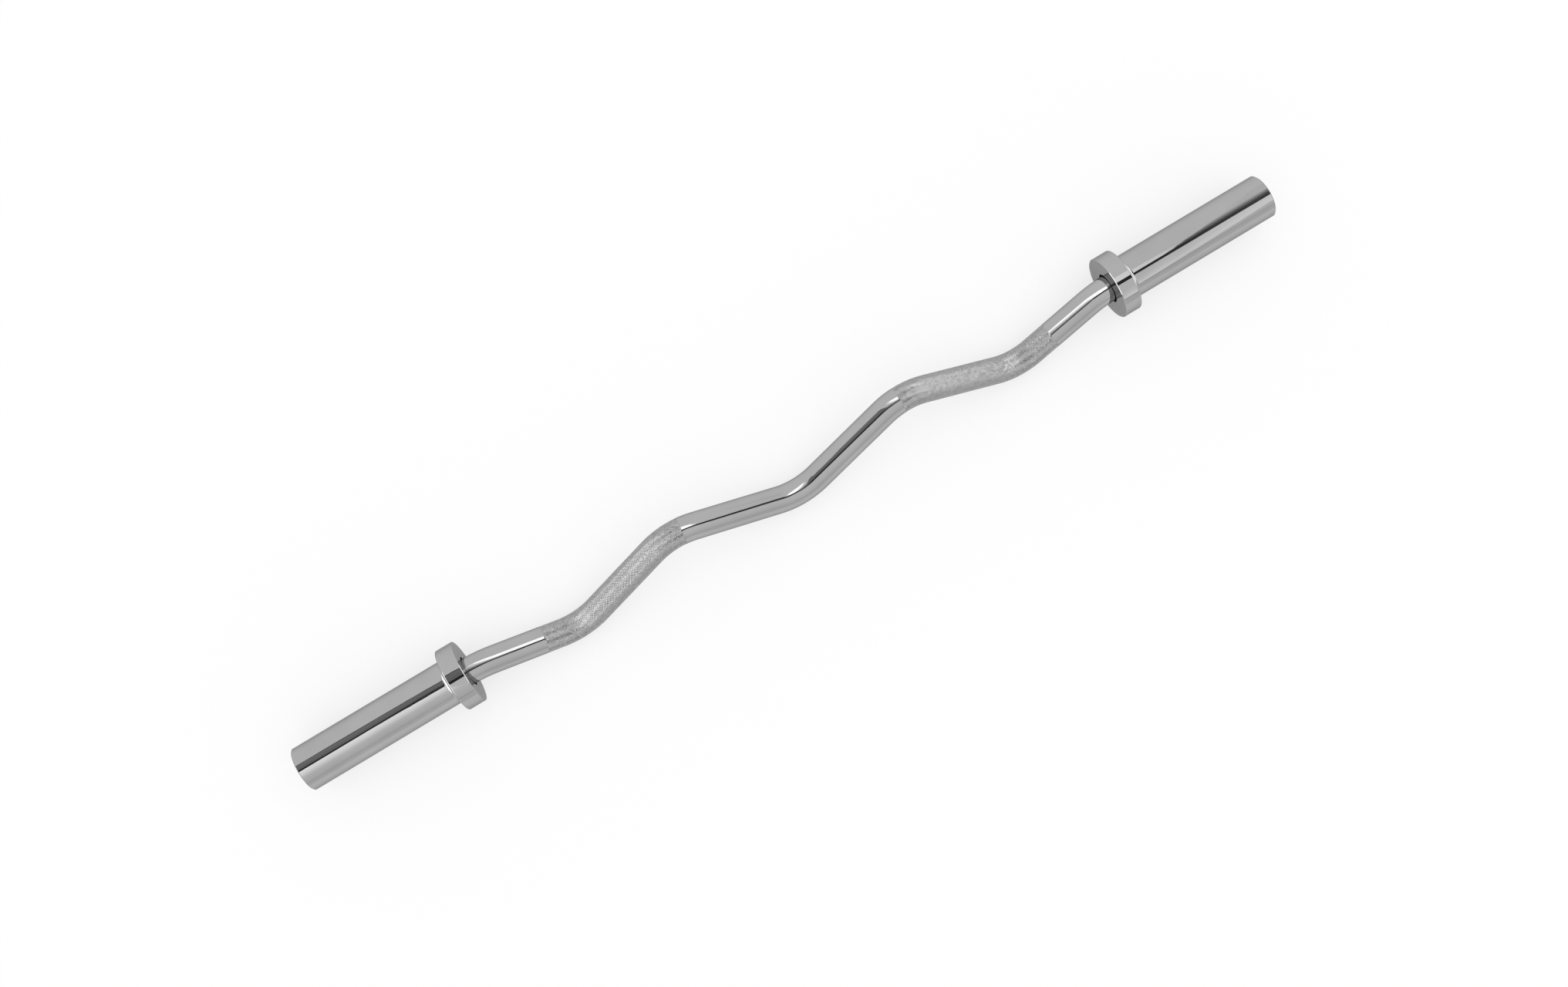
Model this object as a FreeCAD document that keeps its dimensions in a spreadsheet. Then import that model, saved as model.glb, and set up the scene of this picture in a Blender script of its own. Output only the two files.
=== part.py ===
import FreeCAD, Part
import math
import os
import Sketcher

# An EZ curl bar lying on the floor: the sleeves' axis is X, the origin is the middle of the bar on that axis,
# and the collars and the two low bends of the W touch the floor.

# Driving dimensions in millimetres
DIMENSIONS = {
    # The bent bar; the bends are placed one from the next, from the middle outwards
    "overall_length": 1200,
    "grip_dia": 30,
    "bend_radius": 70,
    "middle_drop": 25.4,
    "upper_apex_from_middle": 142.3,
    "upper_rise": 18.9,
    "lower_apex_from_upper": 137.3,
    "lower_drop": 27.4,
    "end_bend_from_lower": 124.4,
    "end_bend_radius": 120,
    "end_bend_depth": 4,
    # The turned journal at each end of the bar
    "shoulder_margin": 2,
    "journal_chamfer": 1,
    "journal_end_gap": 3,
    # The collar
    "collar_dia": 72,
    "collar_width": 20,
    "collar_web": 6,
    "collar_chamfer": 0.6,
    "collar_rim_radius": 1.5,
    "stop_land": 1,
    "mouth_clearance": 2,
    "mouth_chamfer": 0.5,
    "weld_fillet": 5.5,
    "weld_land": 0.5,
    # The sleeve
    "sleeve_dia": 50,
    "sleeve_wall": 7,
    "sleeve_chamfer": 1,
    "spigot_step": 1.2,
    "seat_clearance": 0.02,
    # The seal in the sleeve's mouth
    "seal_wall": 3.1,
    "seal_width": 3,
    "seal_clearance": 0.3,
    # Bearings
    "bushing_wall": 5.5,
    "bushing_length": 22,
    "bushing_chamfer": 1,
    "running_clearance": 0.05,
    "end_play": 0.4,
    "washer_thickness": 2,
    "washer_clearance": 0.1,
    "washer_margin": 1,
    # The ring that holds the sleeve on the journal
    "shaft_ring_thickness": 1.75,
    "shaft_ring_band": 2.4,
    "shaft_ring_groove_depth": 1,
    "shaft_ring_gap": 4,
    "shaft_ring_lug_dia": 3.8,
    "shaft_ring_hole_dia": 2,
    "shaft_ring_land": 4,
    # The end cap and the ring that holds it in the sleeve
    "cap_step": 0.8,
    "cap_thickness": 4,
    "cap_clearance": 0.1,
    "cap_chamfer": 0.6,
    "cap_ring_thickness": 1.5,
    "cap_ring_band": 2.6,
    "cap_ring_groove_depth": 0.8,
    "cap_ring_gap": 8,
    "cap_ring_lug_dia": 4.4,
    "cap_ring_hole_dia": 2.2,
    "cap_ring_land": 2.5,
    "ring_side_play": 0.1,
    "ring_seat_clearance": 0.05,
}

doc = FreeCAD.newDocument("ez_curl_bar")
sheet = doc.addObject("Spreadsheet::Sheet", "Sizes")
for row, (alias, number) in enumerate(DIMENSIONS.items(), start=1):
    sheet.set(f"A{row}", str(number))
    sheet.setAlias(f"A{row}", alias)
doc.recompute()


def size(alias):
    """The expression that reads one driving dimension."""
    return f"Sizes.{alias}"


def half(alias):
    """The expression for a radius, or for half of a length."""
    return f"Sizes.{alias} / 2"


def value(expression):
    """What an expression comes to now, as a plain number."""
    return float(sheet.evalExpression(expression))


# Places along the sleeve's axis, measured from the middle of the bar
UPPER_APEX = size("upper_apex_from_middle")
LOWER_APEX = f"({UPPER_APEX} + {size('lower_apex_from_upper')})"
END_BEND = f"({LOWER_APEX} + {size('end_bend_from_lower')})"
COLLAR_FACE = f"({END_BEND} - {size('end_bend_depth')})"
SLEEVE_START = f"({COLLAR_FACE} + {size('collar_web')})"
SLEEVE_END = half("overall_length")
SEAL_POCKET_DEPTH = f"({size('seal_width')} + {size('shoulder_margin')})"
SHOULDER = f"({SLEEVE_START} + {SEAL_POCKET_DEPTH})"
INNER_BUSHING = f"({SHOULDER} + {size('washer_thickness')} + {size('end_play')})"
SHAFT_RING_GROOVE = f"({size('shaft_ring_thickness')} + {size('ring_side_play')})"
CAP_RING_GROOVE = f"({size('cap_ring_thickness')} + {size('ring_side_play')})"
CAP_SEAT_DEPTH = f"({size('cap_ring_land')} + {CAP_RING_GROOVE} + {size('cap_thickness')})"
CAP_START = f"({SLEEVE_END} - {CAP_SEAT_DEPTH})"
CAP_RING_START = f"({CAP_START} + {size('cap_thickness')})"
JOURNAL_END = f"({CAP_START} - {size('journal_end_gap')})"
SHAFT_RING_END = f"({JOURNAL_END} - {size('shaft_ring_land')})"
SHAFT_RING_START = f"({SHAFT_RING_END} - {SHAFT_RING_GROOVE})"
OUTER_WASHER = f"({SHAFT_RING_START} - {size('washer_thickness')})"
OUTER_BUSHING = f"({OUTER_WASHER} - {size('end_play')} - {size('bushing_length')})"

# Radii that the pieces share, from the bar outwards at the mouth and from the sleeve inwards behind it
MOUTH_RADIUS = f"({half('grip_dia')} + {size('mouth_clearance')})"
SEAL_INNER_RADIUS = f"({half('grip_dia')} + {size('seal_clearance')})"
SEAL_POCKET_RADIUS = f"({SEAL_INNER_RADIUS} + {size('seal_wall')})"
SPIGOT_RADIUS = f"({half('sleeve_dia')} - {size('spigot_step')})"
BORE_RADIUS = f"({half('sleeve_dia')} - {size('sleeve_wall')})"
CAP_SEAT_RADIUS = f"({BORE_RADIUS} + {size('cap_step')})"
CAP_GROOVE_RADIUS = f"({CAP_SEAT_RADIUS} + {size('cap_ring_groove_depth')})"
JOURNAL_RADIUS = f"({BORE_RADIUS} - {size('bushing_wall')})"
JOURNAL_GROOVE_RADIUS = f"({JOURNAL_RADIUS} - {size('shaft_ring_groove_depth')})"

# The weld at the collar's root, which leaves a flat land on the face that stops the plates
STOP_FACE_WIDTH = f"({half('collar_dia')} - {half('sleeve_dia')} - {size('collar_rim_radius')})"
WELD_RADIUS = f"min({size('weld_fillet')}; {STOP_FACE_WIDTH} - {size('stop_land')})"
HUB_LENGTH = f"({size('collar_width')} + {WELD_RADIUS} + {size('weld_land')})"

# How far the W leans from upright when its lowest bends reach the floor that the collars stand on
AXIS_HEIGHT = f"({half('collar_dia')} - {half('grip_dia')})"
DEEPEST_BEND = f"max({size('lower_drop')}; {size('middle_drop')})"
REST_TILT = f"acos(min(1; {AXIS_HEIGHT} / {DEEPEST_BEND}))"

# A sketch numbers the points of a curve upwards from 1, and its own axes downwards from -1
START, END, CENTRE = range(1, 4)
X_AXIS, Y_AXIS = range(-1, -3, -1)
ORIGIN_POINT = (X_AXIS, START)
LENGTH_TOLERANCE = 1e-6


def new_sketch(body, name, plane):
    """An empty sketch on one of the body's own origin planes."""
    sketch = body.newObject("Sketcher::SketchObject", name)
    support = next(item for item in body.Origin.OriginFeatures if item.Role == plane)
    sketch.AttachmentSupport = [(support, "")]
    sketch.MapMode = "FlatFace"
    return sketch


def drive(sketch, kind, references, expression):
    """A dimension of a sketch, bound to the sheet."""
    index = sketch.addConstraint(Sketcher.Constraint(kind, *references, value(expression)))
    sketch.setExpression(f"Constraints[{index}]", expression)


def fix_point(sketch, point, across, up):
    """Places a point of a sketch; an expression of "0" puts it on the axis itself."""
    if across == "0":
        sketch.addConstraint(Sketcher.Constraint("PointOnObject", *point, Y_AXIS))
    else:
        drive(sketch, "DistanceX", (*ORIGIN_POINT, *point), across)
    if up == "0":
        sketch.addConstraint(Sketcher.Constraint("PointOnObject", *point, X_AXIS))
    else:
        drive(sketch, "DistanceY", (*ORIGIN_POINT, *point), up)


def add_circle(sketch, across, up, radius):
    """A circle bound to the sheet."""
    centre = FreeCAD.Vector(value(across), value(up), 0)
    circle = sketch.addGeometry(Part.Circle(centre, FreeCAD.Vector(0, 0, 1), value(radius)))
    if across == "0" and up == "0":
        sketch.addConstraint(Sketcher.Constraint("Coincident", circle, CENTRE, *ORIGIN_POINT))
    else:
        fix_point(sketch, (circle, CENTRE), across, up)
    drive(sketch, "Radius", (circle,), radius)


def add_outline(sketch, corners):
    """A closed outline of straight lines through corners bound to the sheet."""
    points = [FreeCAD.Vector(value(across), value(up), 0) for across, up in corners]
    count = len(points)
    for index in range(count):
        sketch.addGeometry(Part.LineSegment(points[index], points[(index + 1) % count]))
    for index, (across, up) in enumerate(corners):
        sketch.addConstraint(Sketcher.Constraint("Coincident", (index - 1) % count, END, index, START))
        fix_point(sketch, (index, START), across, up)


def turn(body, name, corners):
    """A solid of revolution about the body's X axis; corners are pairs (along the axis, radius)."""
    sketch = new_sketch(body, f"{name}_profile", "XZ_Plane")
    add_outline(sketch, corners)
    feature = body.newObject("PartDesign::Revolution", name)
    feature.Profile = sketch
    feature.ReferenceAxis = (sketch, ["H_Axis"])
    feature.Angle = 360
    doc.recompute()
    return feature


def turned_body(label, corners):
    """A body turned from one outline."""
    body = doc.addObject("PartDesign::Body", label)
    turn(body, f"{label}_turned", corners)
    return body


def ring_corners(length, inner, outer):
    """The outline of a plain ring that starts at its own origin."""
    return [("0", inner), ("0", outer), (length, outer), (length, inner)]


def circular_edge(feature, along, radius):
    """The name of a turned piece's circular edge at a place and radius given as expressions."""
    for number, edge in enumerate(feature.Shape.Edges, start=1):
        if not isinstance(edge.Curve, Part.Circle):
            continue
        off_place = abs(edge.Curve.Center.x - value(along))
        off_radius = abs(edge.Curve.Radius - value(radius))
        if max(off_place, off_radius) < LENGTH_TOLERANCE:
            return f"Edge{number}"
    raise ValueError(f"{feature.Label} has no edge at {along} of radius {radius}")


def dress(body, kind, edges, amount):
    """A Fillet or Chamfer on circular edges, each a pair (along the axis, radius)."""
    base = body.Tip
    names = [circular_edge(base, along, radius) for along, radius in edges]
    feature = body.newObject(f"PartDesign::{kind}", f"{body.Label}_{kind.lower()}")
    feature.Base = (base, names)
    feature.setExpression("Radius" if kind == "Fillet" else "Size", amount)
    doc.recompute()


def make_path(body):
    """The W's centre line: tangent arcs joined by straight runs, from one shoulder to the other."""
    middle = ("0", size("middle_drop"), size("bend_radius"), False)
    upper = (UPPER_APEX, size("upper_rise"), size("bend_radius"), True)
    lower = (LOWER_APEX, size("lower_drop"), size("bend_radius"), False)
    end = (END_BEND, "0", size("end_bend_radius"), True)
    right = [upper, lower, end]
    bends = [(-1, bend) for bend in reversed(right)] + [(1, middle)] + [(1, bend) for bend in right]

    arcs = []
    for side, (place, apex, radius, crest) in bends:
        lift = value(apex) - value(radius)
        centre = FreeCAD.Vector(side * value(place), lift if crest else -lift, 0)
        arcs.append((centre, value(radius), crest))

    shoulder = value(SHOULDER)
    joints = [FreeCAD.Vector(-shoulder, 0, 0), FreeCAD.Vector(arcs[0][0].x, 0, 0)]
    for before, after in zip(arcs, arcs[1:]):
        joints.extend(crossing_tangent(before, after))
    joints.extend([FreeCAD.Vector(arcs[-1][0].x, 0, 0), FreeCAD.Vector(shoulder, 0, 0)])

    sketch = new_sketch(body, "w_path", "XZ_Plane")
    lines = [
        sketch.addGeometry(Part.LineSegment(joints[index], joints[index + 1]))
        for index in range(0, len(joints), 2)
    ]
    for index, (side, (place, apex, radius, crest)) in enumerate(bends):
        centre, arc_radius, _ = arcs[index]
        ends = [joints[2 * index + 1], joints[2 * index + 2]]
        if crest:
            ends.reverse()
        angles = [math.atan2(point.y - centre.y, point.x - centre.x) for point in ends]
        circle = Part.Circle(centre, FreeCAD.Vector(0, 0, 1), arc_radius)
        arc = sketch.addGeometry(Part.ArcOfCircle(circle, *angles))
        first, last = (END, START) if crest else (START, END)
        sketch.addConstraint(Sketcher.Constraint("Tangent", lines[index], END, arc, first))
        sketch.addConstraint(Sketcher.Constraint("Tangent", arc, last, lines[index + 1], START))
        drive(sketch, "Radius", (arc,), radius)
        rise = (arc, CENTRE, *ORIGIN_POINT) if crest else (*ORIGIN_POINT, arc, CENTRE)
        drive(sketch, "DistanceY", rise, f"{radius} - {apex}")
        if place == "0":
            sketch.addConstraint(Sketcher.Constraint("PointOnObject", arc, CENTRE, Y_AXIS))
        else:
            reach = (*ORIGIN_POINT, arc, CENTRE) if side > 0 else (arc, CENTRE, *ORIGIN_POINT)
            drive(sketch, "DistanceX", reach, place)
    sketch.addConstraint(Sketcher.Constraint("Horizontal", lines[0]))
    sketch.addConstraint(Sketcher.Constraint("Horizontal", lines[-1]))
    drive(sketch, "DistanceX", (lines[0], START, *ORIGIN_POINT), SHOULDER)
    drive(sketch, "DistanceX", (*ORIGIN_POINT, lines[-1], END), SHOULDER)
    return sketch


def crossing_tangent(before, after):
    """The two ends of the straight run between a trough and a crest, or a crest and a trough."""
    centre_a, radius_a, crest_a = before
    centre_b, radius_b, _ = after
    apart = centre_b - centre_a
    turn_side = 1 if crest_a else -1
    slope = math.atan2(apart.y, apart.x) - turn_side * math.asin((radius_a + radius_b) / apart.Length)
    outward = FreeCAD.Vector(-math.sin(slope), math.cos(slope), 0) * turn_side
    return [centre_a + outward * radius_a, centre_b - outward * radius_b]


def make_shaft():
    """The bent bar with a journal turned on each end."""
    body = doc.addObject("PartDesign::Body", "shaft")
    path = make_path(body)
    section = new_sketch(body, "grip_section", "YZ_Plane")
    section.setExpression("AttachmentOffset.Base.z", f"-{SHOULDER}")
    add_circle(section, "0", "0", half("grip_dia"))
    doc.recompute()
    bar = body.newObject("PartDesign::AdditivePipe", "bent_bar")
    bar.Profile = section
    bar.Spine = (path, [f"Edge{number}" for number in range(1, len(path.Shape.Edges) + 1)])
    doc.recompute()

    journal = turn(body, "journal", [
        (SHOULDER, "0"),
        (SHOULDER, JOURNAL_RADIUS),
        (SHAFT_RING_START, JOURNAL_RADIUS),
        (SHAFT_RING_START, JOURNAL_GROOVE_RADIUS),
        (SHAFT_RING_END, JOURNAL_GROOVE_RADIUS),
        (SHAFT_RING_END, JOURNAL_RADIUS),
        (f"{JOURNAL_END} - {size('journal_chamfer')}", JOURNAL_RADIUS),
        (JOURNAL_END, f"{JOURNAL_RADIUS} - {size('journal_chamfer')}"),
        (JOURNAL_END, "0"),
    ])
    mirrored = body.newObject("PartDesign::Mirrored", "other_journal")
    mirrored.Originals = [journal]
    mirror_plane = next(item for item in body.Origin.OriginFeatures if item.Role == "YZ_Plane")
    mirrored.MirrorPlane = (mirror_plane, [""])
    body.Tip = mirrored

    body.setExpression("Placement", f"placement(vector(0; 0; 0); rotation(vector(-1; 0; 0); {REST_TILT}))")
    doc.recompute()
    return body


def make_collar(label):
    """The flange that stops the plates: a rounded rim, a socket for the sleeve and a weld fillet at its root."""
    rim = half("collar_dia")
    hub = half("sleeve_dia")
    socket = f"({SPIGOT_RADIUS} + {size('seat_clearance')})"
    body = turned_body(label, [
        ("0", MOUTH_RADIUS),
        ("0", rim),
        (size("collar_width"), rim),
        (size("collar_width"), hub),
        (HUB_LENGTH, hub),
        (HUB_LENGTH, socket),
        (size("collar_web"), socket),
        (size("collar_web"), MOUTH_RADIUS),
    ])
    dress(body, "Fillet", [(size("collar_width"), hub)], WELD_RADIUS)
    dress(body, "Fillet", [(size("collar_width"), rim)], size("collar_rim_radius"))
    dress(body, "Chamfer", [("0", rim)], size("collar_chamfer"))
    dress(body, "Chamfer", [("0", MOUTH_RADIUS)], size("mouth_chamfer"))
    return body


def make_sleeve(label):
    """The tube that carries the plates, with a spigot for the collar and seats for seal, cap and ring."""
    length = f"({SLEEVE_END} - {SLEEVE_START})"
    spigot_end = f"({HUB_LENGTH} - {size('collar_web')})"
    groove_outer = f"({length} - {size('cap_ring_land')})"
    groove_inner = f"({groove_outer} - {CAP_RING_GROOVE})"
    cap_seat = f"({length} - {CAP_SEAT_DEPTH})"
    body = turned_body(label, [
        ("0", SEAL_POCKET_RADIUS),
        ("0", SPIGOT_RADIUS),
        (spigot_end, SPIGOT_RADIUS),
        (spigot_end, half("sleeve_dia")),
        (length, half("sleeve_dia")),
        (length, CAP_SEAT_RADIUS),
        (groove_outer, CAP_SEAT_RADIUS),
        (groove_outer, CAP_GROOVE_RADIUS),
        (groove_inner, CAP_GROOVE_RADIUS),
        (groove_inner, CAP_SEAT_RADIUS),
        (cap_seat, CAP_SEAT_RADIUS),
        (cap_seat, BORE_RADIUS),
        (SEAL_POCKET_DEPTH, BORE_RADIUS),
        (SEAL_POCKET_DEPTH, SEAL_POCKET_RADIUS),
    ])
    dress(body, "Chamfer", [(length, half("sleeve_dia"))], size("sleeve_chamfer"))
    return body


def make_seal(label):
    """The rubber ring that closes the gap between the bar and the sleeve's mouth."""
    outer = f"({SEAL_POCKET_RADIUS} - {size('seat_clearance')})"
    return turned_body(label, ring_corners(size("seal_width"), SEAL_INNER_RADIUS, outer))


def make_bushing(label):
    """A bronze plain bearing, pressed in the sleeve and running on the journal."""
    inner = f"({JOURNAL_RADIUS} + {size('running_clearance')})"
    outer = f"({BORE_RADIUS} - {size('seat_clearance')})"
    body = turned_body(label, ring_corners(size("bushing_length"), inner, outer))
    dress(body, "Chamfer", [("0", outer), (size("bushing_length"), outer)], size("bushing_chamfer"))
    return body


def make_washer(label):
    """A bronze thrust washer on the journal."""
    inner = f"({JOURNAL_RADIUS} + {size('washer_clearance')})"
    outer = f"({BORE_RADIUS} - {size('washer_margin')})"
    return turned_body(label, ring_corners(size("washer_thickness"), inner, outer))


def make_cap(label):
    """The disc that closes the sleeve's end."""
    radius = f"({CAP_SEAT_RADIUS} - {size('cap_clearance')})"
    thickness = size("cap_thickness")
    body = turned_body(label, [("0", "0"), ("0", radius), (thickness, radius), (thickness, "0")])
    dress(body, "Chamfer", [(thickness, radius)], size("cap_chamfer"))
    return body


def extrude(body, kind, name, sketch, length):
    """A Pad or a Pocket along +X from the body's YZ plane."""
    feature = body.newObject(f"PartDesign::{kind}", name)
    feature.Profile = sketch
    feature.setExpression("Length", length)
    feature.Reversed = kind == "Pocket"
    doc.recompute()


def make_snap_ring(label, name, inner, outer, lug_height):
    """An open retaining ring with two lugs and their plier holes; name is the prefix of its sizes."""
    thickness = size(f"{name}_thickness")
    half_gap = half(f"{name}_gap")
    lug = half(f"{name}_lug_dia")
    hole = half(f"{name}_hole_dia")
    lug_across = f"({half_gap} + {lug})"
    body = doc.addObject("PartDesign::Body", label)

    band = new_sketch(body, f"{label}_band", "YZ_Plane")
    add_circle(band, "0", "0", outer)
    add_circle(band, "0", "0", inner)
    extrude(body, "Pad", f"{label}_ring", band, thickness)

    lugs = new_sketch(body, f"{label}_lug_discs", "YZ_Plane")
    add_circle(lugs, lug_across, lug_height, lug)
    add_circle(lugs, f"-{lug_across}", lug_height, lug)
    extrude(body, "Pad", f"{label}_lugs", lugs, thickness)

    opening = new_sketch(body, f"{label}_opening", "YZ_Plane")
    add_outline(opening, [
        (half_gap, "0"),
        (half_gap, outer),
        (f"-{half_gap}", outer),
        (f"-{half_gap}", "0"),
    ])
    extrude(body, "Pocket", f"{label}_gap", opening, thickness)

    holes = new_sketch(body, f"{label}_hole_circles", "YZ_Plane")
    add_circle(holes, lug_across, lug_height, hole)
    add_circle(holes, f"-{lug_across}", lug_height, hole)
    extrude(body, "Pocket", f"{label}_holes", holes, thickness)
    return body


def make_shaft_ring(label):
    """The ring in the journal's groove; its lugs point outwards."""
    inner = f"({JOURNAL_GROOVE_RADIUS} + {size('ring_seat_clearance')})"
    outer = f"({inner} + {size('shaft_ring_band')})"
    return make_snap_ring(label, "shaft_ring", inner, outer, outer)


def make_cap_ring(label):
    """The ring in the sleeve's groove; its lugs point inwards."""
    outer = f"({CAP_GROOVE_RADIUS} - {size('ring_seat_clearance')})"
    inner = f"({outer} - {size('cap_ring_band')})"
    lug_height = f"({inner} - {half('cap_ring_lug_dia')})"
    return make_snap_ring(label, "cap_ring", inner, outer, lug_height)


# Each piece of a sleeve: its name, its maker and where its own origin lies along the axis
SLEEVE_PIECES = [
    ("collar", make_collar, COLLAR_FACE),
    ("sleeve", make_sleeve, SLEEVE_START),
    ("mouth_seal", make_seal, SLEEVE_START),
    ("inner_washer", make_washer, SHOULDER),
    ("inner_bushing", make_bushing, INNER_BUSHING),
    ("outer_bushing", make_bushing, OUTER_BUSHING),
    ("outer_washer", make_washer, OUTER_WASHER),
    ("shaft_snap_ring", make_shaft_ring, SHAFT_RING_START),
    ("end_cap", make_cap, CAP_START),
    ("cap_snap_ring", make_cap_ring, CAP_RING_START),
]

pieces = [make_shaft()]
for side, sign, yaw in (("left", "-", 180), ("right", "", 0)):
    for name, make, start in SLEEVE_PIECES:
        piece = make(f"{side}_{name}")
        piece.Placement.Rotation = FreeCAD.Rotation(FreeCAD.Vector(0, 0, 1), yaw)
        piece.setExpression("Placement.Base.x", f"{sign}({start})")
        pieces.append(piece)
doc.recompute()

for item in doc.Objects:
    if "Invalid" in item.State or "Error" in item.State:
        raise RuntimeError(f"{item.Label} did not compute: {item.State}")
for piece in pieces:
    if piece.Shape.isNull() or not piece.Shape.isValid():
        raise RuntimeError(f"{piece.Label} has no valid shape")

os.makedirs("parts", exist_ok=True)
for piece in pieces:
    piece.Shape.exportStep(f"parts/{piece.Label}.step")
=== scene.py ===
import math
import random
from collections import namedtuple

import bpy
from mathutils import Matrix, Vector


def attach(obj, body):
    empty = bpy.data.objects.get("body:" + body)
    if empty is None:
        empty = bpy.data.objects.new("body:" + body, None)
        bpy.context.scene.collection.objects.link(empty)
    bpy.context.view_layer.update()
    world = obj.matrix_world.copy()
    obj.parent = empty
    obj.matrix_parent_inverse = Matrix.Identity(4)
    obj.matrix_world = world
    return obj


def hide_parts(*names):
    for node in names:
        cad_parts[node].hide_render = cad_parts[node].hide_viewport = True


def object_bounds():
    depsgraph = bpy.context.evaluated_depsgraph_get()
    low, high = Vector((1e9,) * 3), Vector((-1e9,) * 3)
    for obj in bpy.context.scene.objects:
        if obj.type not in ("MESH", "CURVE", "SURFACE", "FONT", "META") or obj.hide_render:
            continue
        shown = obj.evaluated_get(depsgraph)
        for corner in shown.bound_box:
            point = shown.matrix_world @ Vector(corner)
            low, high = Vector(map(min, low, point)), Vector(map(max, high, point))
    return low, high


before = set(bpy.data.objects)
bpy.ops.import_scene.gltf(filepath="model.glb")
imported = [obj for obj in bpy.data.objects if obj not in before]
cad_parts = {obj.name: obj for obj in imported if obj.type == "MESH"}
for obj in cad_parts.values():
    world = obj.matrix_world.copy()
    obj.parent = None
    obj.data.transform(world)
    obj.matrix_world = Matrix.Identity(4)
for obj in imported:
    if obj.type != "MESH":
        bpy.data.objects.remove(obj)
cad_low, cad_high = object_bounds()
scene = bpy.context.scene
MM = 0.001

# The camera stands above the bar, a little left of its middle, with the bar turned in the frame
CAMERA_PLACE = (-0.1147, -0.0114, 1.7264)
CAMERA_TURN = (1.698, -2.766, -30.970)
CAMERA_LENS = 37.03
SENSOR_WIDTH = 36.0

# The bent bar, in millimetres: bends from the middle outwards as (place, apex height, radius)
GRIP_RADIUS = 15.0
COLLAR_RADIUS = 36.0
LOWEST_BEND = 27.4
W_BENDS = [(0.0, -25.4, 70.0), (142.3, 18.9, 70.0), (279.6, -LOWEST_BEND, 70.0), (404.0, 0.0, 120.0)]
SHOULDER = 411.0

# The W leans from upright until its lowest bends reach the floor that the collars stand on
W_TILT = math.acos((COLLAR_RADIUS - GRIP_RADIUS) / LOWEST_BEND)
W_UP = Vector((0, math.sin(W_TILT), math.cos(W_TILT)))
W_SIDE = Vector((0, math.cos(W_TILT), -math.sin(W_TILT)))

# The turned end of the bar inside each sleeve, with a groove for its ring, as (place, radius)
JOURNAL_RADIUS = 12.5
JOURNAL_END = 588.9
JOURNAL_CHAMFER = 1.0
RING_GROOVE_RADIUS = 11.5
RING_GROOVE_START = 583.05
RING_GROOVE_END = 584.9
JOURNAL = [
    (SHOULDER, JOURNAL_RADIUS),
    (RING_GROOVE_START, JOURNAL_RADIUS),
    (RING_GROOVE_START, RING_GROOVE_RADIUS),
    (RING_GROOVE_END, RING_GROOVE_RADIUS),
    (RING_GROOVE_END, JOURNAL_RADIUS),
    (JOURNAL_END - JOURNAL_CHAMFER, JOURNAL_RADIUS),
    (JOURNAL_END, JOURNAL_RADIUS - JOURNAL_CHAMFER),
]

# The knurled bands run from the upper bend to a little past the lower one, as (first place, last place)
LEFT_BAND = (133.0, 317.0)
RIGHT_BAND = (139.0, 322.0)
KNURL_TEETH = 46
KNURL_ANGLE = math.radians(40)
KNURL_DEPTH = 0.40
KNURL_UNEVEN = 0.28
KNURL_BORDER = 0.8
KNURL_SEED = 5
CREST_RADIUS = GRIP_RADIUS
GROOVE_RADIUS = GRIP_RADIUS - KNURL_DEPTH

# How finely the bar is meshed: points in a ring, and lengths between the rings of its plain stretches
RING = 2 * KNURL_TEETH
BEND_STEP = 2.5
STRAIGHT_STEP = 20.0
BAND_CLEARANCE = 0.5
SHARP_ANGLE = math.radians(35)
LENGTH_TOLERANCE = 1e-9
HALVINGS = 50


# Shape of the bent bar
def crossing_run(before, after):
    """Slope and both ends of the straight run between two bends that curve opposite ways."""
    from_x, from_z, from_radius, side = before
    to_x, to_z, to_radius, _ = after
    apart = math.hypot(to_x - from_x, to_z - from_z)
    slope = math.atan2(to_z - from_z, to_x - from_x) + side * math.asin((from_radius + to_radius) / apart)
    across_x, across_z = side * math.sin(slope), -side * math.cos(slope)
    start = (from_x + from_radius * across_x, from_z + from_radius * across_z)
    end = (to_x - to_radius * across_x, to_z - to_radius * across_z)
    return slope, start, end


def half_path():
    """The right half of the centre line from the middle, as pieces (start, heading, length, curvature)."""
    centres = []
    for index, (place, apex, radius) in enumerate(W_BENDS):
        side = 1 if index % 2 == 0 else -1
        centres.append((place, apex + side * radius, radius, side))
    pieces = []
    at = (0.0, W_BENDS[0][1])
    heading = 0.0
    for index, bend in enumerate(centres):
        _, _, radius, side = bend
        if index + 1 < len(centres):
            slope, start, end = crossing_run(bend, centres[index + 1])
        else:
            slope, start, end = 0.0, (W_BENDS[-1][0], 0.0), (SHOULDER, 0.0)
        pieces.append((at, heading, radius * abs(slope - heading), side / radius))
        pieces.append((start, slope, math.dist(start, end), 0.0))
        at, heading = end, slope
    return pieces


HALF_PATH = half_path()
HALF_LENGTH = sum(length for _, _, length, _ in HALF_PATH)


def path_at(along):
    """Point (x, z) in the plane of the W, and heading, at a length from the middle, negative on the left."""
    rest = abs(along)
    for start, heading, length, curvature in HALF_PATH:
        if rest <= length + LENGTH_TOLERANCE:
            break
        rest -= length
    turned = heading + curvature * rest
    if curvature:
        x = start[0] + (math.sin(turned) - math.sin(heading)) / curvature
        z = start[1] - (math.cos(turned) - math.cos(heading)) / curvature
    else:
        x = start[0] + rest * math.cos(heading)
        z = start[1] + rest * math.sin(heading)
    return (x, z, turned) if along >= 0 else (-x, z, -turned)


def length_at(x):
    """Length along the right half at which the centre line reaches x."""
    low, high = 0.0, HALF_LENGTH
    for _ in range(HALVINGS):
        middle = (low + high) / 2
        if path_at(middle)[0] < x:
            low = middle
        else:
            high = middle
    return low


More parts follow.
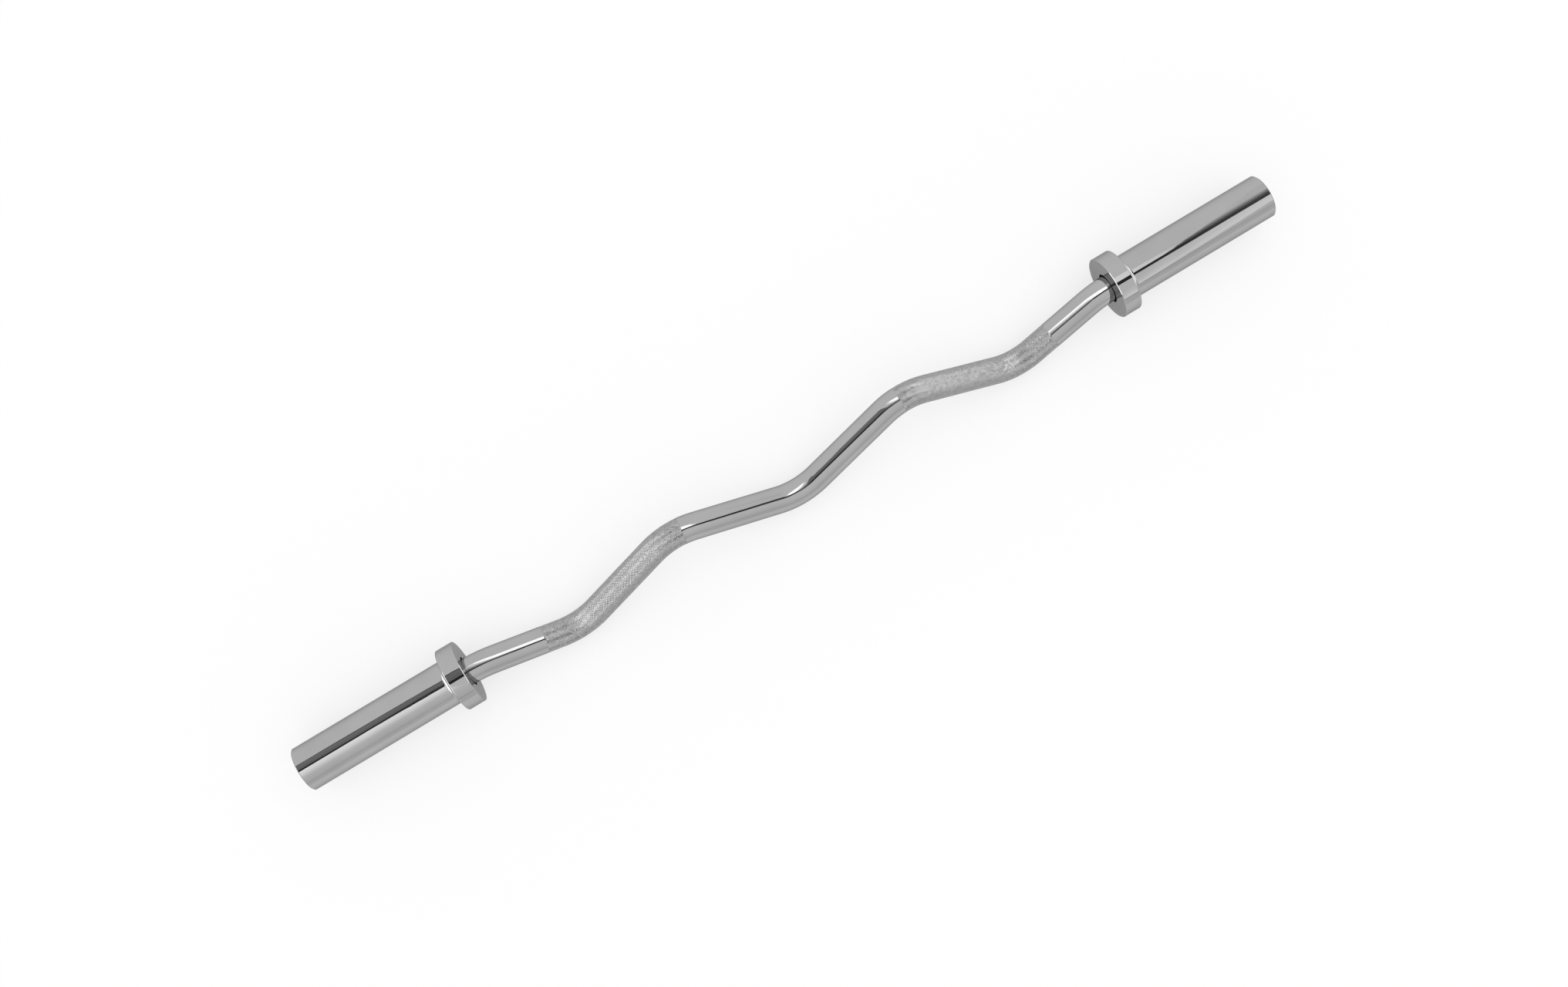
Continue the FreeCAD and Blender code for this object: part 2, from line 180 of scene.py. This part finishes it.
def ring_points(x, z, heading, radii):
    """A ring of points around the centre line, in metres in the row frame; the radii take turns."""
    points = []
    for index in range(RING):
        angle = 2 * math.pi * index / RING
        radius = radii[index % len(radii)]
        rise = radius * math.cos(angle)
        out = radius * math.sin(angle)
        lengthwise = Vector((x - rise * math.sin(heading), 0, 0))
        points.append((lengthwise + W_UP * (z + rise * math.cos(heading)) + W_SIDE * out) * MM)
    return points


def knurl_rows(band):
    """Lengths of the rows of a knurled band; the pyramids' crests and grooves alternate from row to row."""
    tooth = 2 * math.pi * GRIP_RADIUS / KNURL_TEETH
    row = tooth / math.tan(KNURL_ANGLE) / 2
    first, last = (length_at(place) for place in band)
    count = round((last - first) / row)
    return [first + (last - first) * index / count for index in range(count + 1)]


uneven = random.Random(KNURL_SEED)


def knurl_radii(row):
    """Radii around one row: crests and grooves take turns, each pressed a little unevenly."""
    radii = []
    for index in range(RING):
        slip = KNURL_DEPTH * KNURL_UNEVEN * uneven.random()
        radii.append(CREST_RADIUS - slip if (index + row) % 2 else GROOVE_RADIUS + slip)
    return radii


def plain_lengths():
    """Lengths of the rings that a half without a knurl needs, close together in the bends."""
    lengths = []
    run = 0.0
    for _, _, length, curvature in HALF_PATH:
        steps = max(1, round(length / (BEND_STEP if curvature else STRAIGHT_STEP)))
        lengths.extend(run + length * index / steps for index in range(steps))
        run += length
    lengths.append(HALF_LENGTH)
    return lengths


def half_marks(band):
    """The rings of one half from the middle to the shoulder, as (length, radii that take turns, knurled)."""
    rows = knurl_rows(band)
    start, end = rows[0] - KNURL_BORDER, rows[-1] + KNURL_BORDER
    plain = plain_lengths()
    marks = [(along, [CREST_RADIUS], False) for along in plain if along < start - BAND_CLEARANCE]
    marks += [(start, [CREST_RADIUS], False), (start, [GROOVE_RADIUS], False)]
    marks += [(along, knurl_radii(row), True) for row, along in enumerate(rows)]
    marks += [(end, [GROOVE_RADIUS], False), (end, [CREST_RADIUS], False)]
    marks += [(along, [CREST_RADIUS], False) for along in plain if along > end + BAND_CLEARANCE]
    return marks


def bar_rings():
    """All rings of the bar from left to right, as (points, length along the bar, knurled)."""
    left = [(-along, radii, rough) for along, radii, rough in reversed(half_marks(LEFT_BAND)) if along > 0]
    rings = [(ring_points(-x, 0, 0, [radius]), -x, False) for x, radius in reversed(JOURNAL)]
    for along, radii, rough in left + half_marks(RIGHT_BAND):
        rings.append((ring_points(*path_at(along), radii), along, rough))
    rings += [(ring_points(x, 0, 0, [radius]), x, False) for x, radius in JOURNAL]
    return rings


def point_radii(rings):
    """The distance of every point from the middle of its ring, in metres."""
    radii = []
    for ring, _, _ in rings:
        middle = sum(ring, Vector()) / RING
        radii.extend((point - middle).length for point in ring)
    return radii


def bar_faces(rings, radii):
    """The bar's faces, and for each whether it is knurled; a knurled square is split into two triangles."""
    faces, knurled = [], []
    for index in range(len(rings) - 1):
        base, top = index * RING, (index + 1) * RING
        rough = rings[index][2] and rings[index + 1][2]
        for step in range(RING):
            after = (step + 1) % RING
            first, second, third, fourth = base + step, base + after, top + after, top + step
            if rough and radii[first] < radii[second]:
                faces.extend([(first, second, third), (first, third, fourth)])
                knurled.extend([True, True])
            elif rough:
                faces.extend([(first, second, fourth), (second, third, fourth)])
                knurled.extend([True, True])
            else:
                faces.append((first, second, third, fourth))
                knurled.append(False)
    last_ring = (len(rings) - 1) * RING
    faces.append(tuple(reversed(range(RING))))
    faces.append(tuple(range(last_ring, last_ring + RING)))
    knurled.extend([False, False])
    return faces, knurled


def build_bar(chrome, knurl):
    """The whole bar as one closed mesh: smooth grips, knurled bands and the turned ends."""
    rings = bar_rings()
    points = [tuple(point) for ring, _, _ in rings for point in ring]
    radii = point_radii(rings)
    faces, knurled = bar_faces(rings, radii)

    mesh = bpy.data.meshes.new("bar_shaft")
    mesh.from_pydata(points, [], faces)
    mesh.validate()
    mesh.materials.append(chrome)
    mesh.materials.append(knurl)
    mesh.set_sharp_from_angle(angle=SHARP_ANGLE)
    for polygon, rough in zip(mesh.polygons, knurled):
        polygon.use_smooth = not rough
        polygon.material_index = 1 if rough else 0
    # How deep each point sits in a knurl groove; the knurl material turns this into painted shade
    groove_shade = mesh.attributes.new("groove", "FLOAT", "POINT")
    for index, radius in enumerate(radii):
        groove_shade.data[index].value = min(1.0, max(0.0, (GRIP_RADIUS - radius / MM) / KNURL_DEPTH))
    layer = mesh.uv_layers.new(name="bar_lengthwise")
    for polygon in mesh.polygons:
        for loop in polygon.loop_indices:
            vertex = mesh.loops[loop].vertex_index
            layer.data[loop].uv = (rings[vertex // RING][1] * MM, (vertex % RING) / RING)
    mesh.update()
    bar = bpy.data.objects.new("bar_shaft", mesh)
    scene.collection.objects.link(bar)
    return bar


# Materials
WHITE = (1, 1, 1, 1)
EVEN = (1, 1, 1)
NOISE_LOW, NOISE_HIGH = 0.3, 0.7


def grey(level):
    """A colour without a hue."""
    return (level, level, level, 1)


def new_material(name):
    """A material, its node tree and its Principled shader."""
    material = bpy.data.materials.new(name)
    material.use_nodes = True
    tree = material.node_tree
    return material, tree, tree.nodes["Principled BSDF"]


def add(tree, kind, **settings):
    """A node with its settings; a setting whose name is an input sets that input."""
    node = tree.nodes.new(kind)
    for key, setting in settings.items():
        if key in node.inputs:
            node.inputs[key].default_value = setting
        else:
            setattr(node, key, setting)
    return node


def map_range(tree, factor, from_low, from_high, to_low, to_high):
    """A value moved from one range to another."""
    node = add(tree, "ShaderNodeMapRange")
    node.inputs["From Min"].default_value = from_low
    node.inputs["From Max"].default_value = from_high
    node.inputs["To Min"].default_value = to_low
    node.inputs["To Max"].default_value = to_high
    tree.links.new(factor, node.inputs["Value"])
    return node.outputs["Result"]


def noise(tree, output, scale, detail, stretch=EVEN):
    """A noise value over texture coordinates that are stretched first."""
    coordinates = add(tree, "ShaderNodeTexCoord")
    mapping = add(tree, "ShaderNodeMapping", Scale=stretch)
    texture = add(tree, "ShaderNodeTexNoise", Scale=scale, Detail=detail)
    tree.links.new(coordinates.outputs[output], mapping.inputs["Vector"])
    tree.links.new(mapping.outputs["Vector"], texture.inputs["Vector"])
    return texture.outputs["Fac"]


def spread(tree, factor, low, high):
    """A noise value spread over a range."""
    return map_range(tree, factor, NOISE_LOW, NOISE_HIGH, low, high)


def tint(tree, factor, dark, light):
    """A colour between two, by a noise value."""
    ramp = add(tree, "ShaderNodeValToRGB")
    ramp.color_ramp.elements[0].position = NOISE_LOW
    ramp.color_ramp.elements[1].position = NOISE_HIGH
    ramp.color_ramp.elements[0].color = dark
    ramp.color_ramp.elements[1].color = light
    tree.links.new(factor, ramp.inputs["Fac"])
    return ramp.outputs["Color"]


def bump(tree, shader, heights):
    """Chains bumps, each (height, distance in metres), into the shader's normal."""
    normal = None
    for height, distance in heights:
        node = add(tree, "ShaderNodeBump", Strength=1.0, Distance=distance)
        tree.links.new(height, node.inputs["Height"])
        if normal is not None:
            tree.links.new(normal, node.inputs["Normal"])
        normal = node.outputs["Normal"]
    tree.links.new(normal, shader.inputs["Normal"])


CHROME_DARK = grey(0.395)
CHROME_LIGHT = grey(0.425)
CHROME_EDGE = grey(0.52)
CHROME_POLISH = 0.03
HAND_MARKS = 22.0
WAVES = 60.0
WAVE_HEIGHT = 0.00004
STREAK_HEIGHT = 0.000002


def chrome_material(name, output, streak_stretch, dull):
    """Polished chrome: faint streaks along the polishing direction, hand marks and a slight waviness."""
    material, tree, shader = new_material(name)
    shader.inputs["Metallic"].default_value = 1.0
    shader.inputs["Specular Tint"].default_value = CHROME_EDGE
    streaks = noise(tree, output, scale=1.0, detail=3.0, stretch=streak_stretch)
    marks = noise(tree, "Object", scale=HAND_MARKS, detail=4.0)
    waves = noise(tree, "Object", scale=WAVES, detail=1.0)
    tree.links.new(tint(tree, marks, CHROME_DARK, CHROME_LIGHT), shader.inputs["Base Color"])
    tree.links.new(spread(tree, streaks, CHROME_POLISH, dull), shader.inputs["Roughness"])
    bump(tree, shader, [(waves, WAVE_HEIGHT), (streaks, STREAK_HEIGHT)])
    return material


# Knurl base colours: the crest is lighter than the plain chrome, a painted highlight, and the groove is
# darker, a painted shade in the valleys
KNURL_CREST_HIGHLIGHT = grey(0.52)
KNURL_GROOVE_SHADE = grey(0.30)
KNURL_MOTTLE = 320.0
KNURL_MOTTLE_DEPTH = 0.2
KNURL_GRAIN = 900.0
KNURL_GRAIN_HEIGHT = 0.000008
KNURL_POLISH, KNURL_DULL = 0.16, 0.24


def knurl_material():
    """Chrome over the knurl: crests set lighter than the plain chrome as a painted highlight, grooves
    darkened as painted shade, with a grain in its gloss.
    """
    material, tree, shader = new_material("knurl_chrome")
    shader.inputs["Metallic"].default_value = 1.0
    shader.inputs["Specular Tint"].default_value = CHROME_EDGE
    # Darker the deeper a point sits in a groove, with a random mottle: painted shade in the valleys
    groove = add(tree, "ShaderNodeAttribute", attribute_name="groove")
    ramp = add(tree, "ShaderNodeValToRGB")
    ramp.color_ramp.elements[0].color = KNURL_CREST_HIGHLIGHT
    ramp.color_ramp.elements[1].color = KNURL_GROOVE_SHADE
    mottle = noise(tree, "Object", scale=KNURL_MOTTLE, detail=2.0)
    groove_shade = add(tree, "ShaderNodeMath", operation="ADD", use_clamp=True)
    tree.links.new(groove.outputs["Fac"], groove_shade.inputs[0])
    tree.links.new(spread(tree, mottle, -KNURL_MOTTLE_DEPTH, KNURL_MOTTLE_DEPTH), groove_shade.inputs[1])
    tree.links.new(groove_shade.outputs[0], ramp.inputs["Fac"])
    tree.links.new(ramp.outputs["Color"], shader.inputs["Base Color"])
    grain = noise(tree, "Object", scale=KNURL_GRAIN, detail=3.0)
    tree.links.new(spread(tree, grain, KNURL_POLISH, KNURL_DULL), shader.inputs["Roughness"])
    bump(tree, shader, [(grain, KNURL_GRAIN_HEIGHT)])
    return material


GRAINS_PER_MOTTLE = 9


def plain_material(name, dark, light, metallic, roughness, scale, height):
    """A material with a mottled colour, a grain in its gloss and a fine bump."""
    material, tree, shader = new_material(name)
    shader.inputs["Metallic"].default_value = metallic
    mottle = noise(tree, "Object", scale=scale, detail=4.0)
    grain = noise(tree, "Object", scale=scale * GRAINS_PER_MOTTLE, detail=3.0)
    tree.links.new(tint(tree, mottle, dark, light), shader.inputs["Base Color"])
    tree.links.new(spread(tree, grain, *roughness), shader.inputs["Roughness"])
    bump(tree, shader, [(grain, height)])
    return material


bar_chrome = chrome_material("bar_chrome", "UV", streak_stretch=(8, 260, 1), dull=0.08)
sleeve_chrome = chrome_material("sleeve_chrome", "Object", streak_stretch=(6, 1400, 1400), dull=0.08)
collar_chrome = chrome_material("collar_chrome", "Object", streak_stretch=(900, 60, 60), dull=0.05)
cap_chrome = chrome_material("cap_chrome", "Object", streak_stretch=(60, 900, 900), dull=0.08)
knurl_chrome = knurl_material()
bronze = plain_material(
    "bronze", dark=(0.42, 0.25, 0.10, 1), light=(0.52, 0.32, 0.14, 1),
    metallic=1.0, roughness=(0.28, 0.42), scale=120.0, height=0.00002,
)
spring_steel = plain_material(
    "spring_steel", dark=(0.20, 0.20, 0.21, 1), light=(0.27, 0.27, 0.28, 1),
    metallic=1.0, roughness=(0.30, 0.45), scale=150.0, height=0.00002,
)
seal_rubber = plain_material(
    "seal_rubber", dark=(0.018, 0.018, 0.018, 1), light=(0.03, 0.03, 0.031, 1),
    metallic=0.0, roughness=(0.55, 0.75), scale=200.0, height=0.00003,
)

NODE_MATERIALS = {
    "collar": collar_chrome,
    "sleeve": sleeve_chrome,
    "mouth_seal": seal_rubber,
    "inner_washer": bronze,
    "inner_bushing": bronze,
    "outer_bushing": bronze,
    "outer_washer": bronze,
    "shaft_snap_ring": spring_steel,
    "end_cap": cap_chrome,
    "cap_snap_ring": spring_steel,
}
for side in ("left", "right"):
    for piece, material in NODE_MATERIALS.items():
        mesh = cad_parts[f"{side}_{piece}"].data
        mesh.materials.clear()
        mesh.materials.append(material)

bar = build_bar(bar_chrome, knurl_chrome)
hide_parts("shaft")
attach(bar, "bar")


# Studio: a pale floor under a white sky, and cards around the bar that only reflections see
def stage_sheet(name, corners, material):
    """A flat sheet of the studio from its corners."""
    mesh = bpy.data.meshes.new(name)
    mesh.from_pydata(corners, [], [tuple(range(len(corners)))])
    sheet = bpy.data.objects.new(name, mesh)
    sheet.data.materials.append(material)
    scene.collection.objects.link(sheet)
    return sheet


def level_sheet(outline, height):
    """The corners of a level sheet from its outline."""
    return [(x, y, height) for x, y in outline]


def empty_material(name):
    """A material with nothing in its tree but an output."""
    material = bpy.data.materials.new(name)
    material.use_nodes = True
    material.node_tree.nodes.clear()
    return material, material.node_tree, add(material.node_tree, "ShaderNodeOutputMaterial")


# A card's glow may change along an axis, from its own level at start to another level at end
Fade = namedtuple("Fade", "axis start end level")


def card_material(name, level, fade):
    """A glow of one level, or one that fades to another."""
    material, tree, out = empty_material(name)
    glow = add(tree, "ShaderNodeEmission", Color=WHITE, Strength=level)
    tree.links.new(glow.outputs["Emission"], out.inputs["Surface"])
    if fade:
        place = add(tree, "ShaderNodeTexCoord")
        parts = add(tree, "ShaderNodeSeparateXYZ")
        tree.links.new(place.outputs["Object"], parts.inputs["Vector"])
        strength = map_range(tree, parts.outputs[fade.axis], fade.start, fade.end, level, fade.level)
        tree.links.new(strength, glow.inputs["Strength"])
    return material


def card(name, corners, level, fade=None):
    """A glowing or dark card that only reflections see."""
    sheet = stage_sheet(name, corners, card_material(name, level, fade))
    sheet.visible_camera = False
    sheet.visible_diffuse = False
    sheet.visible_shadow = False


def seen_ray(tree):
    """1 for rays that should see the white floor: from the camera, off metal and through glass."""
    path = add(tree, "ShaderNodeLightPath")
    total = path.outputs["Is Camera Ray"]
    for kind in ("Is Glossy Ray", "Is Transmission Ray"):
        either = add(tree, "ShaderNodeMath", operation="ADD", use_clamp=True)
        tree.links.new(total, either.inputs[0])
        tree.links.new(path.outputs[kind], either.inputs[1])
        total = either.outputs[0]
    return total


FLOOR_COLOUR = grey(0.40)
FLOOR_GLOW = 0.60
FLOOR_REACH = 8.0


def floor_material():
    """A pale floor that keeps the soft shadow and shows white to the camera and in the metal."""
    material, tree, out = empty_material("pale_floor")
    diffuse = add(tree, "ShaderNodeBsdfDiffuse", Color=FLOOR_COLOUR)
    glow = add(tree, "ShaderNodeEmission", Color=WHITE)
    level = add(tree, "ShaderNodeMath", operation="MULTIPLY")
    level.inputs[1].default_value = FLOOR_GLOW
    tree.links.new(seen_ray(tree), level.inputs[0])
    tree.links.new(level.outputs[0], glow.inputs["Strength"])
    both = add(tree, "ShaderNodeAddShader")
    tree.links.new(diffuse.outputs[0], both.inputs[0])
    tree.links.new(glow.outputs[0], both.inputs[1])
    tree.links.new(both.outputs[0], out.inputs["Surface"])
    return material


floor_outline = [(x * FLOOR_REACH, y * FLOOR_REACH) for x, y in ((-1, -1), (1, -1), (1, 1), (-1, 1))]
stage_sheet("floor", level_sheet(floor_outline, cad_low.z), floor_material())

# Overhead, in metres: a soft box in its spill, and dark cloths beside it with darker hems and an edge
CEILING = 2.2
CARD_STEP = 0.02
SOFT_BOX_HEIGHT = CEILING - CARD_STEP
CLOTH_HEIGHT = CEILING - 2 * CARD_STEP
HEM_HEIGHT = CEILING - 3 * CARD_STEP
SOFT_BOX = [
    (-0.30, 1.62), (0.05, 1.38), (0.55, 1.08), (0.98, 0.70), (1.05, 0.35), (0.95, 0.14),
    (0.55, 0.20), (0.30, 0.36), (0.05, 0.60), (-0.20, 0.95), (-0.36, 1.35),
]
MIDDLE_X, MIDDLE_Y = 0.38, 0.82
SPILL_WIDTH, SPILL_DEPTH = 1.35, 1.3
SPILL = [
    (MIDDLE_X + SPILL_WIDTH * (x - MIDDLE_X), MIDDLE_Y + SPILL_DEPTH * (y - MIDDLE_Y))
    for x, y in SOFT_BOX
]
LEFT_CLOTH_TOP = [(-1.48, 1.50), (-1.20, 1.45), (-1.00, 1.28), (-0.85, 1.08), (-0.76, 0.94)]
LEFT_CLOTH = [*LEFT_CLOTH_TOP, (-0.76, -0.30), (-1.45, -0.30)]
LEFT_HEM = [(-1.46, 0.18), (-0.76, 0.12), (-0.76, -0.30), (-1.45, -0.30)]
LEFT_EDGE = [*LEFT_CLOTH_TOP, (-0.76, 0.82), (-0.86, 0.96), (-1.02, 1.15), (-1.22, 1.32), (-1.48, 1.37)]
MIDDLE_FOOT = [(0.27, -0.26), (0.00, -0.26), (-0.40, -0.26), (-0.76, -0.30)]
MIDDLE_CLOTH = [(-0.76, 0.94), (-0.62, 0.72), (-0.45, 0.44), (0.00, 0.22), (0.27, 0.18), *MIDDLE_FOOT]
MIDDLE_HEM = [(-0.76, 0.12), (-0.40, 0.02), (0.00, -0.06), (0.27, -0.10), *MIDDLE_FOOT]
RIGHT_CLOTH = [
    (0.27, 0.20), (0.55, 0.10), (0.98, 0.05), (1.10, 0.02), (1.55, 0.16), (1.75, 0.22),
    (1.75, -0.58), (1.30, -0.48), (1.00, -0.40), (0.60, -0.28), (0.27, -0.20),
]
card("soft_box", level_sheet(SOFT_BOX, SOFT_BOX_HEIGHT), level=2.4)
card(
    "soft_box_spill", level_sheet(SPILL, CEILING), level=1.5,
    fade=Fade("X", start=1.0, end=1.5, level=1.0),
)
card(
    "left_cloth", level_sheet(LEFT_CLOTH, CLOTH_HEIGHT), level=0.32,
    fade=Fade("Y", start=1.2, end=0.0, level=0.22),
)
card("left_cloth_hem", level_sheet(LEFT_HEM, HEM_HEIGHT), level=0.03)
card("left_cloth_edge", level_sheet(LEFT_EDGE, HEM_HEIGHT), level=0.10)
card(
    "middle_cloth", level_sheet(MIDDLE_CLOTH, CLOTH_HEIGHT), level=0.24,
    fade=Fade("X", start=-0.76, end=0.0, level=0.34),
)
card("middle_cloth_hem", level_sheet(MIDDLE_HEM, HEM_HEIGHT), level=0.03)
card(
    "right_cloth", level_sheet(RIGHT_CLOTH, CLOTH_HEIGHT), level=0.04,
    fade=Fade("X", start=1.10, end=1.65, level=0.12),
)

# Lower down, for the sleeves: a bright reflector and a dark shade at each end of the bar
REFLECTOR_HEIGHT = 1.2
LEFT_REFLECTOR = [(-1.00, -0.05), (-0.80, -0.08), (-0.64, -0.15), (-0.64, -1.0), (-1.00, -1.0)]
LEFT_SHADE = [(-1.00, 0.20), (-0.64, 0.17), (-0.64, -0.15), (-0.80, -0.08), (-1.00, -0.05)]
RIGHT_REFLECTOR = [(0.84, -0.25), (1.30, -0.31), (1.30, -2.6), (0.84, -2.6)]
RIGHT_SHADE = [
    (0.86, -0.02), (1.60, -0.05), (1.60, 1.69), (1.42, 1.69),
    (1.32, 1.40), (1.10, 0.76), (0.94, 0.26), (0.86, 0.08),
]
card(
    "left_reflector", level_sheet(LEFT_REFLECTOR, REFLECTOR_HEIGHT), level=1.75,
    fade=Fade("Y", start=0.0, end=-0.8, level=1.0),
)
card("left_shade", level_sheet(LEFT_SHADE, REFLECTOR_HEIGHT), level=0.05)
card(
    "right_reflector", level_sheet(RIGHT_REFLECTOR, REFLECTOR_HEIGHT), level=1.0,
    fade=Fade("X", start=0.84, end=1.15, level=1.3),
)
card(
    "right_shade", level_sheet(RIGHT_SHADE, REFLECTOR_HEIGHT), level=0.03,
    fade=Fade("Y", start=0.05, end=0.55, level=0.92),
)

# A wall on the near side with a dark rail, and a tall light at each end of the bar
WALL = -4.0
WALL_REACH = 7.0
WALL_TOP = 5.5
RAIL_TOP = 1.74
RAIL_FOOT = 1.64
LEFT_LIGHT = -2.7
RIGHT_LIGHT = 2.9
LIGHT_REACH = 1.6
LIGHT_TOP = 2.5
LIGHT_FOOT = 0.3


def wall_sheet(low, high):
    """The corners of a band of the wall."""
    left, right = -WALL_REACH, WALL_REACH
    return [(left, WALL, low), (right, WALL, low), (right, WALL, high), (left, WALL, high)]


def light_sheet(place):
    """The corners of a tall light that stands across the bar's line."""
    near, far = -LIGHT_REACH, LIGHT_REACH
    low, high = LIGHT_FOOT, LIGHT_TOP
    return [(place, near, low), (place, far, low), (place, far, high), (place, near, high)]


card(
    "wall_top", wall_sheet(RAIL_TOP, WALL_TOP), level=0.86,
    fade=Fade("Z", start=RAIL_TOP, end=WALL_TOP, level=1.0),
)
card("wall_rail", wall_sheet(RAIL_FOOT, RAIL_TOP), level=0.45)
card(
    "wall_foot", wall_sheet(0.0, RAIL_FOOT), level=0.86,
    fade=Fade("Z", start=0.0, end=RAIL_FOOT, level=0.80),
)
card("left_light", light_sheet(LEFT_LIGHT), level=2.6)
card("right_light", light_sheet(RIGHT_LIGHT), level=2.1)

world = bpy.data.worlds.new("studio")
scene.world = world
world.use_nodes = True
sky = world.node_tree.nodes["Background"]
sky.inputs["Color"].default_value = WHITE
sky.inputs["Strength"].default_value = 1.0

camera = bpy.data.objects.new("camera", bpy.data.cameras.new("camera"))
camera.location = CAMERA_PLACE
camera.rotation_euler = [math.radians(angle) for angle in CAMERA_TURN]
camera.data.lens = CAMERA_LENS
camera.data.sensor_width = SENSOR_WIDTH
scene.collection.objects.link(camera)
scene.camera = camera

scene.view_settings.view_transform = "Standard"
